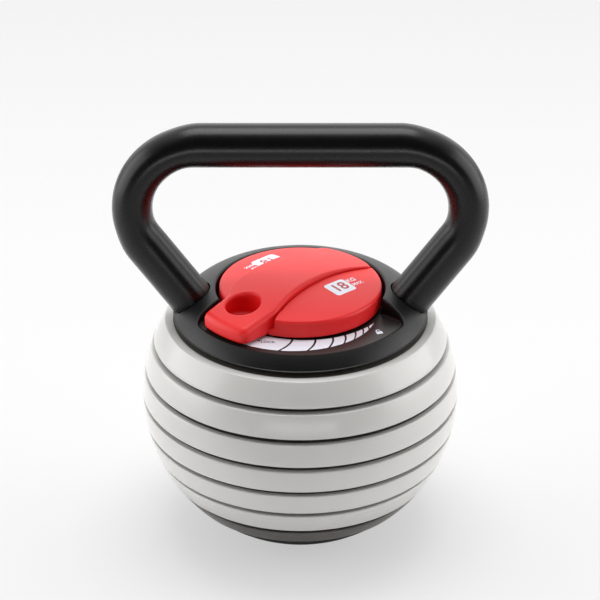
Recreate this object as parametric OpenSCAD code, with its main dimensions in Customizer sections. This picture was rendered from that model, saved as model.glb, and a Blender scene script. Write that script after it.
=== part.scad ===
// Adjustable kettlebell: a bent tube handle over a stack of round plates, with a quarter-turn
// lock in the top. Z is up, the floor is z = 0, the stack's axis is the Z axis, the handle lies
// in the XZ plane, and the lock's lever points towards -Y at rest.

/* [Ball] */
// Radius of the ball that the plates' rims follow
ball_r = 110; // [105:0.5:114]
// Height of the ball's centre above the floor
ball_z = 98; // [96:0.5:100]
// Number of plates in the stack
plate_count = 6; // [6:1:6]
// Height that one plate adds to the stack
pitch = 20.2; // [20:0.1:20.5]
// Open groove between one rim and the next
groove = 3.6; // [2:0.2:5]
// Height of the seat that the lowest plate stands on
seat_z = 38; // [37:0.5:40]

/* [Plates] */
// Radius of the full-height hub in the middle of a plate
hub_r = 50; // [46:1:52]
// Thickness of a plate's outer rim wall
rim_wall = 13; // [10:1:16]
// Depth of the ring pocket under a plate
pocket_h = 13; // [8:0.2:13.4]
// Radius of the pegs that stop the plates from turning on each other
peg_r = 4; // [3:0.5:5]
// Distance of the pegs from the axis
peg_at = 36; // [33:0.5:38]

/* [Handle] */
// Outer diameter of the handle's tube
tube_d = 30; // [26:0.5:31]
// Wall of the handle's tube
tube_wall = 3; // [2:0.5:4]
// Height of the grip's axis above the floor
grip_z = 285.5; // [275:0.5:290]
// Half of the grip's straight length
grip_half = 67.3; // [62:0.1:70]
// Radius of the bends, to the tube's axis
bend_r = 47; // [42:0.5:50]
// Lean of the legs from the vertical, in degrees
leg_lean = 36; // [34:0.5:37]

/* [Top cap] */
// Radius of the cap's bottom edge
cap_r = 88; // [86:0.5:89]
// Radius of the round well that the dial turns in
well_r = 58.2; // [57.8:0.1:59]
// Radius that the lever's recess reaches
recess_r = 79; // [78.5:0.1:80]
// Height of the floor of the well and of the recess
cap_floor_z = 167; // [166.5:0.1:167.2]
// Thickness of the cap's wall
cap_wall = 3.5; // [2.5:0.1:4]

/* [Lock] */
// Turn of the lever from locked to open, in degrees
lock_turn = 90; // [90:1:90]
// Direction of the lever when locked, in degrees from +X
lock_az = 224; // [222:1:226]
// Radius of the dial's wall
dial_r = 56; // [54:0.5:56.5]
// Height of the dial's lower edge
dial_z = 168.5; // [168.2:0.1:169]
// Height of the top of the dial's dome
dome_z = 186; // [184:0.5:187]
// Height of the top of the lever's arch
arch_z = 190; // [189:0.5:191]
// Radius of the finger hole in the lever's tab
finger_r = 12; // [10:0.5:12.5]
// Distance of the finger hole from the axis
finger_at = 52.3; // [50:0.1:53]
// Radius of the lock's spindle
spindle_r = 10; // [9:0.5:11]
// Reach of the spindle's lugs from the axis
lug_r = 18.5; // [17:0.5:19]
// Width of a lug
lug_w = 8; // [6:0.5:9]

/* [Hidden] */
$fn = 96;

eps = 0.05;
fuse = 0.03;
slack = 0.2;
far = 200;
tube_r = tube_d / 2;
stack_top = seat_z + plate_count * pitch;
head_t = 4;
head_r = cap_r - 4;
head_top = stack_top + head_t;
// The bend turns from level to the legs' lean
bend_turn = 90 + leg_lean;
bend_z = grip_z - bend_r;
leg_x = grip_half + bend_r * cos(leg_lean);
leg_z = bend_z - bend_r * sin(leg_lean);
// The cap's dome is one arc, turned about the axis
dome_arc_r = 45;
dome_arc_x = 50;
dome_arc_z = 134.9;
// The dome is hollow behind this line, where no leg stands
back_y = 24;
// The dial's dome and the lever's arch are parts of large spheres
dial_dome_r = 294;
arch_r = 264;
arch_shift = 10;
// The lever's two long edges are arcs that bend the same way
edge_in_r = 170;
edge_in_u = -12;
edge_in_v = 13.2;
edge_out_r = 220;
edge_out_u = -8;
edge_out_v = -30;
tab_r = 77;
tab_left = -20;
tab_right = 23;
tab_root = 38;
tab_z = 168.7;
finger_v = -1.7;
finger_floor = 171.5;
end_gap = 3;
// Keyhole in each plate: a round bore with two arms, over a round pocket that the lugs turn in
bore_r = 13.5;
arm_r = lug_r + 1;
arm_w = lug_w + 2;
turn_r = lug_r + 1.5;
ledge_h = 10.2;
lug_h = 6.2;
lug_drop = 0.3;
catch_t = 5;
catch_r = 28;
band_z = 20.5;
peg_h = 3;
// Depth of the groove between two rims, and the thickness of the ring at its bottom
groove_deep = 12;
seat_wall = 8;
bush_r = 14;
flange_t = 2;
flange_r = 19;
cap_screw_r = 40;
lever_screw_u = 26;
lever_screw_v = [-11, 11];
square_w = 13;
spindle_top = 179;

function plate_z(i) = seat_z + (plate_count - i) * pitch;

// Radius of the ball at a height
function rim_r(z) = sqrt(pow(ball_r, 2) - pow(z - ball_z, 2));

// A flat ring
module ring(r_out, r_in, z, h)
{
    translate([0, 0, z]) difference() {
        cylinder(r = r_out, h = h);
        translate([0, 0, -1]) cylinder(r = r_in, h = h + 2);
    }
}

// A slice of the ball, between two heights
module ball_slice(z, h, inset = 0)
{
    intersection() {
        translate([0, 0, ball_z]) sphere(r = ball_r - inset, $fn = 180);
        translate([0, 0, z]) cylinder(r = far, h = h);
    }
}

// The keyhole that lets the lugs through in one position only
module keyhole(z, h)
{
    translate([0, 0, z]) cylinder(r = bore_r, h = h);
    translate([-arm_r, -arm_w / 2, z]) cube([2 * arm_r, arm_w, h]);
}

// Places a pair of pegs or sockets
module at_pegs()
{
    for (s = [-1, 1])
        translate([0, s * peg_at, 0]) children();
}

// A countersunk screw that points up from its head
module screw_up(r, head_r, h)
{
    cylinder(r1 = head_r, r2 = r, h = head_r - r);
    cylinder(r = r, h = h);
}

// The handle's path with a round section. The bends are a hair fatter than the straight
// lengths, which run a hair into them, so that no two round faces fall together
module tube_path(r)
{
    translate([-grip_half - fuse, 0, grip_z]) rotate([0, 90, 0])
        cylinder(r = r, h = 2 * (grip_half + fuse));
    for (s = [0, 1]) mirror([s, 0, 0]) {
        translate([grip_half, 0, bend_z]) rotate([90, 0, 0]) rotate([0, 0, -leg_lean])
            rotate_extrude(angle = bend_turn) translate([bend_r, 0]) circle(r = r + fuse);
        translate([leg_x, 0, leg_z]) rotate([0, 180 + leg_lean, 0]) translate([0, 0, -fuse])
            cylinder(r = r, h = (leg_z - head_top) / cos(leg_lean) + tube_r);
    }
}

// The legs are cut level where they are welded to the head plate
module handle_tube()
{
    color("#1c1c1e") difference() {
        tube_path(tube_r);
        tube_path(tube_r - tube_wall);
        translate([0, 0, head_top - far / 2]) cube([2 * far, far, far], center = true);
    }
}

module head_plate()
{
    color("#2a2a2c") difference() {
        translate([0, 0, stack_top]) cylinder(r = head_r, h = head_t);
        translate([0, 0, stack_top - 1]) cylinder(r = bush_r, h = head_t + 2);
        translate([0, 0, stack_top - 1]) at_pegs() cylinder(r = peg_r + slack, h = head_t + 2);
        at_cap_screws() translate([0, 0, stack_top - eps]) screw_up(2.2, 4.2, head_t + 1);
    }
}

module at_cap_screws()
{
    for (a = [45:90:315])
        rotate([0, 0, a]) translate([cap_screw_r, 0, 0]) children();
}

// Flat outline of the lever's recess: the tab's sweep, with straight ends along the tab's sides
module recess_outline()
{
    first = lock_az - end_gap;
    last = lock_az + lock_turn + end_gap;
    intersection() {
        circle(r = recess_r);
        union() {
            polygon([[0, 0], for (k = [0:6]) let (a = first + (last - first) * k / 6)
                far * [cos(a), sin(a)]]);
            rotate([0, 0, first]) translate([0, tab_left - 1.5]) square([far, 10 - tab_left]);
            rotate([0, 0, last]) translate([0, -8.5]) square([far, 10 + tab_right]);
        }
    }
}

// The cap's dome as a solid of revolution, thinner by the given wall
module cap_dome(inset, z0)
{
    rotate_extrude($fn = 180) intersection() {
        translate([dome_arc_x, dome_arc_z]) circle(r = dome_arc_r - inset);
        translate([flange_r + 2, z0]) square([far, far]);
    }
}

// Hollow under the back of the dome
module cap_hollow()
{
    difference() {
        cap_dome(cap_wall, stack_top - 1);
        cylinder(r = well_r + cap_wall, h = far);
        translate([-far, back_y - 2 * far, 0]) cube([2 * far, 2 * far, far]);
    }
}

// Clearance round one leg, along the leg
module leg_way()
{
    translate([leg_x, 0, leg_z]) rotate([0, 180 + leg_lean, 0])
        cylinder(r = tube_r + 0.8, h = far);
}

module top_cap()
{
    color("#202022") difference() {
        union() {
            difference() {
                cap_dome(0, stack_top);
                translate([0, 0, cap_floor_z]) cylinder(r = well_r, h = far);
                translate([0, 0, cap_floor_z]) linear_extrude(height = far) recess_outline();
            }
            at_cap_screws() translate([0, 0, cap_floor_z - 1]) cylinder(r = 4.5, h = 2.2);
        }
        translate([0, 0, stack_top - 1]) cylinder(r = head_r + slack, h = head_t + 1 + slack);
        cap_hollow();
        leg_way();
        mirror([1, 0, 0]) leg_way();
        at_cap_screws() translate([0, 0, stack_top]) cylinder(r = 1.8, h = head_t + 8);
    }
}

module cap_screws()
{
    color("silver") at_cap_screws() translate([0, 0, stack_top]) screw_up(1.75, 3.8, 8.6);
}

module scale_label()
{
    color("#2b2223") translate([0, 0, cap_floor_z]) linear_extrude(height = 0.3) difference() {
        intersection() {
            circle(r = recess_r - 0.6);
            rotate([0, 0, lock_az]) polygon([[0, 0], for (a = [-12:12:108])
                far * [cos(a), sin(a)]]);
        }
        circle(r = dial_r - 1);
    }
}

// Turns a lever part from its own axes, u along the lever and v to its left, to where it locks
module lever_frame()
{
    rotate([0, 0, lock_az]) children();
}

// Flat outline of the lever's band over the dial
module band_outline()
{
    difference() {
        intersection() {
            circle(r = dial_r - 1.5);
            translate([edge_out_u, edge_out_v + edge_out_r]) circle(r = edge_out_r, $fn = 360);
        }
        translate([edge_in_u, edge_in_v + edge_in_r]) circle(r = edge_in_r, $fn = 360);
        translate([tab_root, -far / 2]) square([far, far]);
    }
}

// Flat outline of the tab that stands out over the recess
module tab_outline(gap = 0)
{
    intersection() {
        circle(r = tab_r + gap);
        polygon([[tab_root - gap, tab_left - gap], [far, tab_left + 9 - gap],
                 [far, tab_right + gap], [tab_root - gap, tab_right + gap]]);
    }
}

module arch_ball()
{
    translate([arch_shift, 0, arch_z - arch_r]) sphere(r = arch_r, $fn = 360);
}

module dial_ball()
{
    translate([0, 0, dome_z - dial_dome_r]) sphere(r = dial_dome_r, $fn = 360);
}

module dial()
{
    color("#e8343c") difference() {
        intersection() {
            translate([0, 0, dial_z]) cylinder(r = dial_r, h = 30);
            dial_ball();
        }
        lever_frame() dial_cuts();
    }
}

// Everything that is cut out of the dial, in the lever's axes
module dial_cuts()
{
    // Ring pocket under the dial, with walls left around the tab's seat
    difference() {
        ring(dial_r - 3.5, hub_r / 2 - 3, dial_z - 1, 11);
        translate([tab_root - 4, tab_left - 3.5, dial_z - 2])
            cube([far, tab_right - tab_left + 7, 14]);
    }
    translate([0, 0, dial_z - 1]) linear_extrude(height = 40) tab_outline(0.15);
    translate([-square_w / 2 - eps, -square_w / 2 - eps, dial_z - 1])
        cube([square_w + 2 * eps, square_w + 2 * eps, spindle_top - dial_z + 1]);
    translate([0, 0, spindle_top - 1]) cylinder(r = 4.6, h = 3);
    translate([0, 0, spindle_top + 0.4]) cylinder(r = 10, h = 20);
    for (v = lever_screw_v)
        translate([lever_screw_u, v, dial_z]) cylinder(r = 2.2, h = 30);
}

module lever()
{
    color("#ee3a42") lever_frame() difference() {
        intersection() {
            union() {
                difference() {
                    translate([0, 0, dial_z]) linear_extrude(height = 30) band_outline();
                    dial_ball();
                }
                translate([0, 0, tab_z]) linear_extrude(height = 30) tab_outline();
            }
            arch_ball();
        }
        translate([finger_at, finger_v, finger_floor]) cylinder(r = finger_r, h = 30);
        for (v = lever_screw_v)
            translate([lever_screw_u, v, dial_z]) cylinder(r = 1.55, h = 19.2);
    }
}

module lever_screws()
{
    color("silver") lever_frame() for (v = lever_screw_v)
        translate([lever_screw_u, v, dial_z + 8]) {
            cylinder(r = 3.4, h = 2);
            cylinder(r = 1.5, h = 11);
        }
}

module dial_bolt()
{
    color("silver") difference() {
        union() {
            translate([0, 0, spindle_top + 1.4]) cylinder(r = 6.5, h = 3.6, $fn = 6);
            translate([0, 0, spindle_top - 18]) cylinder(r = 4, h = 20);
        }
    }
}

module dial_washer()
{
    color("silver") ring(9.2, 4.2, spindle_top + 0.4, 1);
}

module wave_washer()
{
    color("#8f9296") ring(17, spindle_r + 0.4, head_top + flange_t + 1.5,
                          dial_z - head_top - flange_t - 1.5);
}

module thrust_washer()
{
    color("#d8d2c0") ring(18, spindle_r + 0.4, head_top + flange_t, 1.5);
}

module spindle_bush()
{
    color("#b08d57") difference() {
        union() {
            translate([0, 0, stack_top]) cylinder(r = bush_r, h = head_t);
            translate([0, 0, head_top]) cylinder(r = flange_r, h = flange_t);
        }
        translate([0, 0, stack_top - 1]) cylinder(r = spindle_r + eps, h = 10);
    }
}

// Height of the lugs that hold a plate or the dock, from its lower face
function lug_z(z) = z + pitch - ledge_h - lug_h - lug_drop;

// A pair of lugs across the spindle
module lugs(z)
{
    translate([0, 0, z]) intersection() {
        cylinder(r = lug_r, h = lug_h);
        translate([-lug_w / 2, -far / 2, 0]) cube([lug_w, far, lug_h]);
    }
}

module spindle()
{
    clip_z = stack_top - 2;
    color("#9a9da1") difference() {
        union() {
            translate([0, 0, 23.5]) cylinder(r = spindle_r, h = dial_z - 23.5);
            lever_frame() intersection() {
                translate([-square_w / 2, -square_w / 2, dial_z - eps])
                    cube([square_w, square_w, spindle_top - dial_z + eps]);
                cylinder(r = spindle_r - 1, h = far);
            }
            for (i = [1:plate_count]) lugs(lug_z(plate_z(i)));
            lugs(seat_z - catch_t - lug_drop - lug_h);
        }
        ring(spindle_r + 1, spindle_r - 1.5, clip_z, 1.6);
        translate([0, 0, spindle_top - 20]) cylinder(r = 4.1, h = 30);
    }
}

module circlip()
{
    color("#5a5d60") difference() {
        ring(spindle_r + 2.6, spindle_r - 1.4, stack_top - 1.9, 1.4);
        translate([0, -2.5, stack_top - 3]) cube([20, 5, 5]);
    }
}

// Ring in the groove, which carries the rim above, whose lower radius is given
module seat_ring(above_r, z)
{
    ring(above_r - groove_deep, above_r - groove_deep - seat_wall, z - eps, groove + eps);
}

// One plate. The rim follows the ball and the hub stands up to carry the next plate
module plate(i)
{
    z = plate_z(i);
    rim_h = pitch - groove;
    low_r = rim_r(z);
    high_r = rim_r(z + rim_h);
    color("#c9c8c4") difference() {
        union() {
            ball_slice(z, rim_h);
            translate([0, 0, z]) cylinder(r = hub_r, h = pitch);
            seat_ring(i == 1 ? cap_r + 2 : rim_r(plate_z(i - 1)), z + rim_h);
            translate([0, 0, z + pitch - eps]) at_pegs() cylinder(r = peg_r, h = peg_h + eps);
        }
        ring(min(low_r, high_r) - rim_wall, hub_r, z - 1, pocket_h + 1);
        keyhole(z - 1, pitch + 2);
        translate([0, 0, z - 1]) cylinder(r = turn_r, h = pitch - ledge_h + 1);
        translate([0, 0, z - 1]) at_pegs() cylinder(r = peg_r + slack, h = peg_h + 1.4);
    }
}

module plate_1() { plate(1); }
module plate_2() { plate(2); }
module plate_3() { plate(3); }
module plate_4() { plate(4); }
module plate_5() { plate(5); }
module plate_6() { plate(6); }

module at_catch_screws()
{
    for (a = [30:120:270])
        rotate([0, 0, a]) translate([23.5, 0, 0]) children();
}

module at_foot_screws()
{
    for (a = [45:90:315])
        rotate([0, 0, a]) translate([58, 0, 0]) children();
}

module dock()
{
    color("#3a3836") difference() {
        union() {
            ball_slice(band_z, seat_z - groove - band_z);
            translate([0, 0, band_z]) cylinder(r = hub_r, h = seat_z - band_z);
            seat_ring(rim_r(seat_z), seat_z - groove);
            translate([0, 0, seat_z - eps]) at_pegs() cylinder(r = peg_r, h = peg_h + eps);
        }
        translate([0, 0, seat_z - catch_t]) cylinder(r = catch_r + slack, h = far);
        translate([0, 0, 22.5]) cylinder(r = turn_r, h = far);
        at_catch_screws() translate([0, 0, seat_z - 12]) cylinder(r = 1.8, h = 12);
        at_foot_screws() translate([0, 0, band_z - 1]) cylinder(r = 1.8, h = 10);
    }
}

module catch_plate()
{
    color("#8f9296") difference() {
        translate([0, 0, seat_z - catch_t]) cylinder(r = catch_r, h = catch_t);
        keyhole(seat_z - catch_t - 1, catch_t + 2);
        at_catch_screws() translate([0, 0, seat_z + eps]) mirror([0, 0, 1])
            screw_up(2.1, 3.9, catch_t + 1);
    }
}

module catch_screws()
{
    color("silver") at_catch_screws() translate([0, 0, seat_z]) mirror([0, 0, 1])
        screw_up(1.75, 3.5, 11);
}

module foot_ring()
{
    color("#1a1a1a") difference() {
        ball_slice(0, band_z, 1);
        translate([0, 0, -1]) cylinder(r = 42, h = band_z + 2);
        at_foot_screws() {
            translate([0, 0, -1]) cylinder(r = 4.6, h = 11);
            cylinder(r = 2.2, h = band_z + 1);
        }
    }
}

module foot_screws()
{
    color("silver") at_foot_screws() translate([0, 0, 8]) {
        cylinder(r = 3.8, h = 2);
        cylinder(r = 1.75, h = 18);
    }
}

handle_tube();
head_plate();
top_cap();
cap_screws();
scale_label();
dial();
lever();
lever_screws();
dial_bolt();
dial_washer();
wave_washer();
thrust_washer();
spindle_bush();
spindle();
circlip();
plate_1();
plate_2();
plate_3();
plate_4();
plate_5();
plate_6();
dock();
catch_plate();
catch_screws();
foot_ring();
foot_screws();
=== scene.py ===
"""Looks of an adjustable kettlebell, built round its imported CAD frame.

Lengths are in metres. Z is up, the stack's axis is the Z axis, the handle lies in the XZ plane
and the lock's lever points to the front left at rest.
"""

import math

import bmesh
import bpy
import numpy as np
from bpy.props import (
    FloatProperty,
    FloatVectorProperty,
    IntProperty,
    PointerProperty,
    StringProperty,
)
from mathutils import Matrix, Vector


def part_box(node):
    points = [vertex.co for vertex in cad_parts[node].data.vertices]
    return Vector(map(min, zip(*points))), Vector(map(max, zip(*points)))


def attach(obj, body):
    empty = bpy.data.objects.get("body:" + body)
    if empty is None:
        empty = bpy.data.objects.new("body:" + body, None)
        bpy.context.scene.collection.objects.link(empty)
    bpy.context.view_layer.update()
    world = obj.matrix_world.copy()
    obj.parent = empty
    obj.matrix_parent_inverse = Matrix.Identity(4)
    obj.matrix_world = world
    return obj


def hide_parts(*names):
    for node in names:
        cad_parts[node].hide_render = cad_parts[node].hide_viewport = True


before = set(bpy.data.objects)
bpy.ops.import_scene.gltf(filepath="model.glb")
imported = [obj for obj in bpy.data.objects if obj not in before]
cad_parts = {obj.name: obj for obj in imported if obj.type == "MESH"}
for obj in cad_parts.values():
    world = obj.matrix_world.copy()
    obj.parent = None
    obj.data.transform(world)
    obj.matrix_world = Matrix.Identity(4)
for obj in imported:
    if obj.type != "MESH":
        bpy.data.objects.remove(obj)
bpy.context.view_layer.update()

bl_info = {
    "name": "Adjustable Kettlebell",
    "version": (1, 0, 0),
    "blender": (4, 5, 0),
    "location": "3D View > Sidebar > Kettlebell",
    "description": "Builds the visible surfaces and finishes of an adjustable kettlebell",
    "category": "Object",
}

MM = 0.001
FLOOR_GLOW = 0.50  # light that the camera sees come from the floor itself
FLOOR_GREY = 0.32  # and how much of the lamps' light it gives back
WORLD_BACK = 1.75  # brightness of the surroundings behind the object
WORLD_SEEN = 0.905  # and their brightness to the camera
PLATES = [f"plate_{i}" for i in range(1, 7)]
HANDLE_LO, HANDLE_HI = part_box("handle_tube")
CAP_LO, CAP_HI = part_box("top_cap")
DIAL_LO, DIAL_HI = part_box("dial")
LEVER_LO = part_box("lever")[0]
LABEL_LO, LABEL_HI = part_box("scale_label")
DOCK_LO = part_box("dock")[0]
FOOT_LO, FOOT_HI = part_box("foot_ring")


def shade(red, green, blue):
    """Scene-linear colour of a screen colour given as three numbers from 0 to 255."""
    screen = np.array([red, green, blue]) / 255
    curve = np.where(screen <= 0.04045, screen / 12.92, ((screen + 0.055) / 1.055) ** 2.4)
    return tuple(float(c) for c in curve)


def length(name, description, default):
    """A length that the user can change, in metres."""
    return FloatProperty(name=name, description=description, default=default, min=0.0,
                         precision=5, unit="LENGTH")


def signed(name, description, default):
    """A place or a shift that may be on either side of zero, in metres."""
    return FloatProperty(name=name, description=description, default=default,
                         precision=5, unit="LENGTH")


def angle(name, description, degrees):
    """An angle that the user can change, given here in degrees."""
    return FloatProperty(name=name, description=description, default=math.radians(degrees),
                         subtype="ANGLE")


def colour(name, description, default):
    """A colour that the user can change."""
    return FloatVectorProperty(name=name, description=description, default=default,
                               subtype="COLOR", size=3, min=0.0, max=1.0)


class KettlebellHandleSizes(bpy.types.PropertyGroup):
    """Sizes of the bent tube handle."""

    bend_radius: length("Bend radius", "Radius of each bend, to the tube's axis", 47 * MM)
    lean: angle("Leg lean", "Lean of the legs from the vertical", 36)
    wall: length("Tube wall", "Thickness of the tube's wall", 3 * MM)
    thinning: length("Thinning", "How much the tube flattens in a bend, each side", 1.2 * MM)


class KettlebellCapSizes(bpy.types.PropertyGroup):
    """Sizes of the black top cap and its label."""

    dome_radius: length("Dome radius", "Radius of the cap's domed section", 45 * MM)
    dome_at: length("Dome centre", "Distance of that section's centre from the axis", 50 * MM)
    well_radius: length("Well radius", "Radius of the well that the dial turns in", 58.2 * MM)
    recess_radius: length("Recess radius", "Radius that the lever's recess reaches", 79 * MM)
    floor: length("Floor height", "Height of the floor of the well and the recess", 167 * MM)
    gap: length("Leg clearance", "Clearance round each leg", 0.8 * MM)
    first: angle("Recess start", "Direction of the lever at the recess's start", 221)
    last: angle("Recess end", "Direction of the lever at the recess's end", 317)
    start_side: length("Start side", "Distance of the start wall from the axis", 21.5 * MM)
    end_side: length("End side", "Distance of the end wall from the axis", 24.5 * MM)
    corner: length("Recess corner", "Radius of the recess's outer corners", 9 * MM)


class KettlebellLockSizes(bpy.types.PropertyGroup):
    """Sizes of the red dial and its lever."""

    lever_turn: angle("Lever direction", "Direction of the lever at rest", 224)
    dial_dome: length("Dial dome", "Radius of the ball that the dial's top follows", 294 * MM)
    dial_top: length("Dial top", "Height of the dial's dome on the axis", 186 * MM)
    arch: length("Lever arch", "Radius of the ball that the lever's top follows", 264 * MM)
    arch_shift: length("Arch shift", "Distance of the arch's top from the axis", 10 * MM)
    arch_top: length("Arch top", "Height of the lever's arch", 190 * MM)
    hole_radius: length("Hole radius", "Radius of the finger hole", 12 * MM)
    hole_u: signed("Hole along", "Place of the finger hole along the lever", 52.3 * MM)
    hole_v: signed("Hole across", "Place of the finger hole across the lever", -1.7 * MM)
    hole_floor: length("Hole floor", "Height of the finger hole's floor", 170.5 * MM)
    tab_radius: length("Tab reach", "Distance of the tab's tip from the axis", 76.8 * MM)
    tip_drop: length("Tip drop", "Extra fall of the lever's arch at its tab", 2.6 * MM)
    edge: length("Edge radius", "Rounding of the tab's top edge", 4.2 * MM)
    tab_right: signed("Tab right", "Right side of the tab, across the lever", 22 * MM)
    tab_left: signed("Tab left", "Left side of the tab, across the lever", -20 * MM)
    crease: length("Crease", "Gap between the lever's right-hand edge and the dial", 0.25 * MM)
    number: StringProperty(name="Number", description="Number printed on the dial",
                           default="18")


class KettlebellStackSizes(bpy.types.PropertyGroup):
    """Sizes of the plates, the dock and the foot."""

    ball_radius: length("Ball radius", "Radius of the ball that the rims follow", 110 * MM)
    ball_height: length("Ball height", "Height of that ball's centre", 98 * MM)
    groove: length("Groove", "Height of the open groove between two rims", 3.6 * MM)
    groove_depth: length("Groove depth", "Depth of the groove", 12 * MM)
    seat_wall: length("Seat wall", "Thickness of the ring at the groove's bottom", 8 * MM)
    hub_radius: length("Hub radius", "Radius of a plate's hub", 50 * MM)
    rim_wall: length("Rim wall", "Thickness of a plate's rim", 13 * MM)
    pocket: length("Pocket depth", "Depth of the pocket under a plate", 13 * MM)
    bevel: length("Edge rounding", "Rounding of a rim's edges", 1.0 * MM)
    facets: IntProperty(name="Facets", description="Facets round a turned piece",
                        default=288, min=48, max=720)


class KettlebellColours(bpy.types.PropertyGroup):
    """Base colours of the finishes."""

    black_paint: colour("Handle", "Black satin paint on the handle", shade(8, 8, 9))
    black_plastic: colour("Cap", "Black plastic of the cap", shade(18, 18, 18))
    red_plastic: colour("Dial", "Red plastic of the dial and lever", shade(230, 30, 32))
    grey_paint: colour("Plates", "Light grey paint on the plates", shade(198, 197, 194))
    film: colour("Label", "Dark film of the label", shade(38, 31, 30))
    ink: colour("Ink", "White ink", shade(226, 230, 240))
    dock: colour("Dock", "Dark gloss of the dock", shade(74, 70, 67))
    rubber: colour("Foot", "Black rubber of the foot", shade(26, 26, 27))


class KettlebellStageSizes(bpy.types.PropertyGroup):
    """The floor, the lights and the camera."""

    camera_distance: length("Camera distance", "Distance of the camera in front", 1.8226)
    camera_height: length("Camera height", "Height of the camera", 1.1316)
    camera_side: signed("Camera side", "Sideways shift of the camera", -0.0003)
    camera_pitch: angle("Camera pitch", "Turn of the camera up from straight down", 62.133)
    lens: FloatProperty(name="Lens", description="Focal length of the camera",
                        default=179.21, min=10.0, unit="CAMERA")
    floor_radius: length("Floor radius", "Radius of the floor", 7.0)


# ---------------------------------------------------------------- surfaces


def quads(rows, cols, wrap_rows=False, wrap_cols=True):
    """Four-cornered faces between neighbouring points of a grid that is stored row by row."""
    row, col = np.meshgrid(np.arange(rows if wrap_rows else rows - 1),
                           np.arange(cols if wrap_cols else cols - 1), indexing="ij")
    next_row, next_col = (row + 1) % rows, (col + 1) % cols
    faces = [row * cols + col, row * cols + next_col,
             next_row * cols + next_col, next_row * cols + col]
    return np.stack(faces, -1).reshape(-1, 4)


def volume(verts, faces):
    """Signed volume of a closed shell: the sum of a . (b x c) / 6 over its triangles."""
    total = 0.0
    for group in faces:
        a = verts[group[:, 0]]
        for k in range(1, group.shape[1] - 1):
            across = np.cross(verts[group[:, k]], verts[group[:, k + 1]])
            total += np.einsum("ij,ij->", a, across) / 6
    return total


def outward(verts, faces):
    """The shell with its faces turned to point outwards."""
    if volume(verts, faces) < 0:
        faces = [group[:, ::-1] for group in faces]
    return verts, faces


def shell(grid, first_pole=None, last_pole=None):
    """Closed shell over a grid of points whose columns join round. Its rows join round too,
    or else each end closes in a fan to a pole."""
    rows, cols = grid.shape[:2]
    verts = grid.reshape(-1, 3)
    faces = [quads(rows, cols, wrap_rows=first_pole is None)]
    ring = np.arange(cols)
    if first_pole is not None:
        ends = ((first_pole, np.roll(ring, -1), ring),
                (last_pole, ring + (rows - 1) * cols, np.roll(ring, -1) + (rows - 1) * cols))
        for pole, one, two in ends:
            faces.append(np.stack([one, two, np.full(cols, len(verts))], -1))
            verts = np.vstack([verts, pole])
    return outward(verts, faces)


def sheet(plan, low, high):
    """Thin closed sheet over a grid of plan points: its top is at the heights in high and its
    underside at those in low, with a wall round its border."""
    rows, cols = plan.shape[:2]
    count = rows * cols
    top = quads(rows, cols, wrap_cols=False)
    index = np.arange(count).reshape(rows, cols)
    border = np.concatenate([index[0, :-1], index[:-1, -1], index[-1, :0:-1], index[:0:-1, 0]])
    ahead = np.roll(border, -1)
    walls = np.stack([ahead, border, border + count, ahead + count], -1)
    verts = np.vstack([np.dstack([plan, high]).reshape(-1, 3),
                       np.dstack([plan, low]).reshape(-1, 3)])
    return outward(verts, [top, top[:, ::-1] + count, walls])


def merged(shells):
    """Several closed shells as one list of vertices and faces."""
    verts, faces, start = [], [], 0
    for points, groups in shells:
        verts.append(points)
        faces += [group + start for group in groups]
        start += len(points)
    return np.vstack(verts), faces


def dense(outline, longest):
    """Closed outline with points added so that no side is longer than the given length."""
    step = np.roll(outline, -1, 0) - outline
    counts = np.maximum(1, np.ceil(np.linalg.norm(step, axis=1) / longest)).astype(int)
    index = np.repeat(np.arange(len(outline)), counts)
    share = (np.arange(counts.sum()) - np.repeat(np.cumsum(counts) - counts, counts))
    return outline[index] + (share / counts[index])[:, None] * step[index]


def rounded(corners, steps=4):
    """Closed outline through corners (x, y, radius): each corner with a radius becomes an arc
    that touches both of its sides, centred on the line that halves the corner's angle."""
    table = np.array(corners, float)
    points, radii = table[:, :2], table[:, 2]
    outline = []
    for i, (point, radius) in enumerate(zip(points, radii)):
        if radius == 0:
            outline.append(point[None])
            continue
        back, ahead = points[i - 1] - point, points[(i + 1) % len(points)] - point
        shortest = min(np.linalg.norm(back), np.linalg.norm(ahead))
        back, ahead = back / np.linalg.norm(back), ahead / np.linalg.norm(ahead)
        half = math.acos(np.clip(back @ ahead, -1, 1)) / 2
        reach = min(radius / math.tan(half), 0.49 * shortest)
        middle = (back + ahead) / np.linalg.norm(back + ahead)
        centre = point + middle * reach / math.cos(half)
        start, end = point + back * reach - centre, point + ahead * reach - centre
        sweep = math.pi - 2 * half
        share = np.linspace(0, 1, steps + 1)[:, None]
        arc = np.sin((1 - share) * sweep) * start + np.sin(share * sweep) * end
        outline.append(centre + arc / math.sin(sweep))
    return np.vstack(outline)


def turned(profile, facets):
    """Shell of revolution: the point (r, z) of the profile goes round to (r cos t, r sin t, z).
    A profile that starts and ends on the axis closes there in two poles."""
    t = np.linspace(0, 2 * np.pi, facets, endpoint=False)
    on_axis = profile[0, 0] == 0
    body = profile[1:-1] if on_axis else profile
    r, z = body[:, :1], body[:, 1:]
    grid = np.stack([r * np.cos(t), r * np.sin(t), z + 0 * t], -1)
    if on_axis:
        return shell(grid, [0, 0, profile[0, 1]], [0, 0, profile[-1, 1]])
    return shell(grid)


def prism(outline, low, high):
    """Upright closed prism over a convex outline, between two heights, with a pole in the
    middle of each end."""
    middle = outline.mean(0)
    grid = np.stack([np.column_stack([outline, np.full(len(outline), z)])
                     for z in (low, high)])
    return shell(grid, [*middle, low], [*middle, high])


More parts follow.
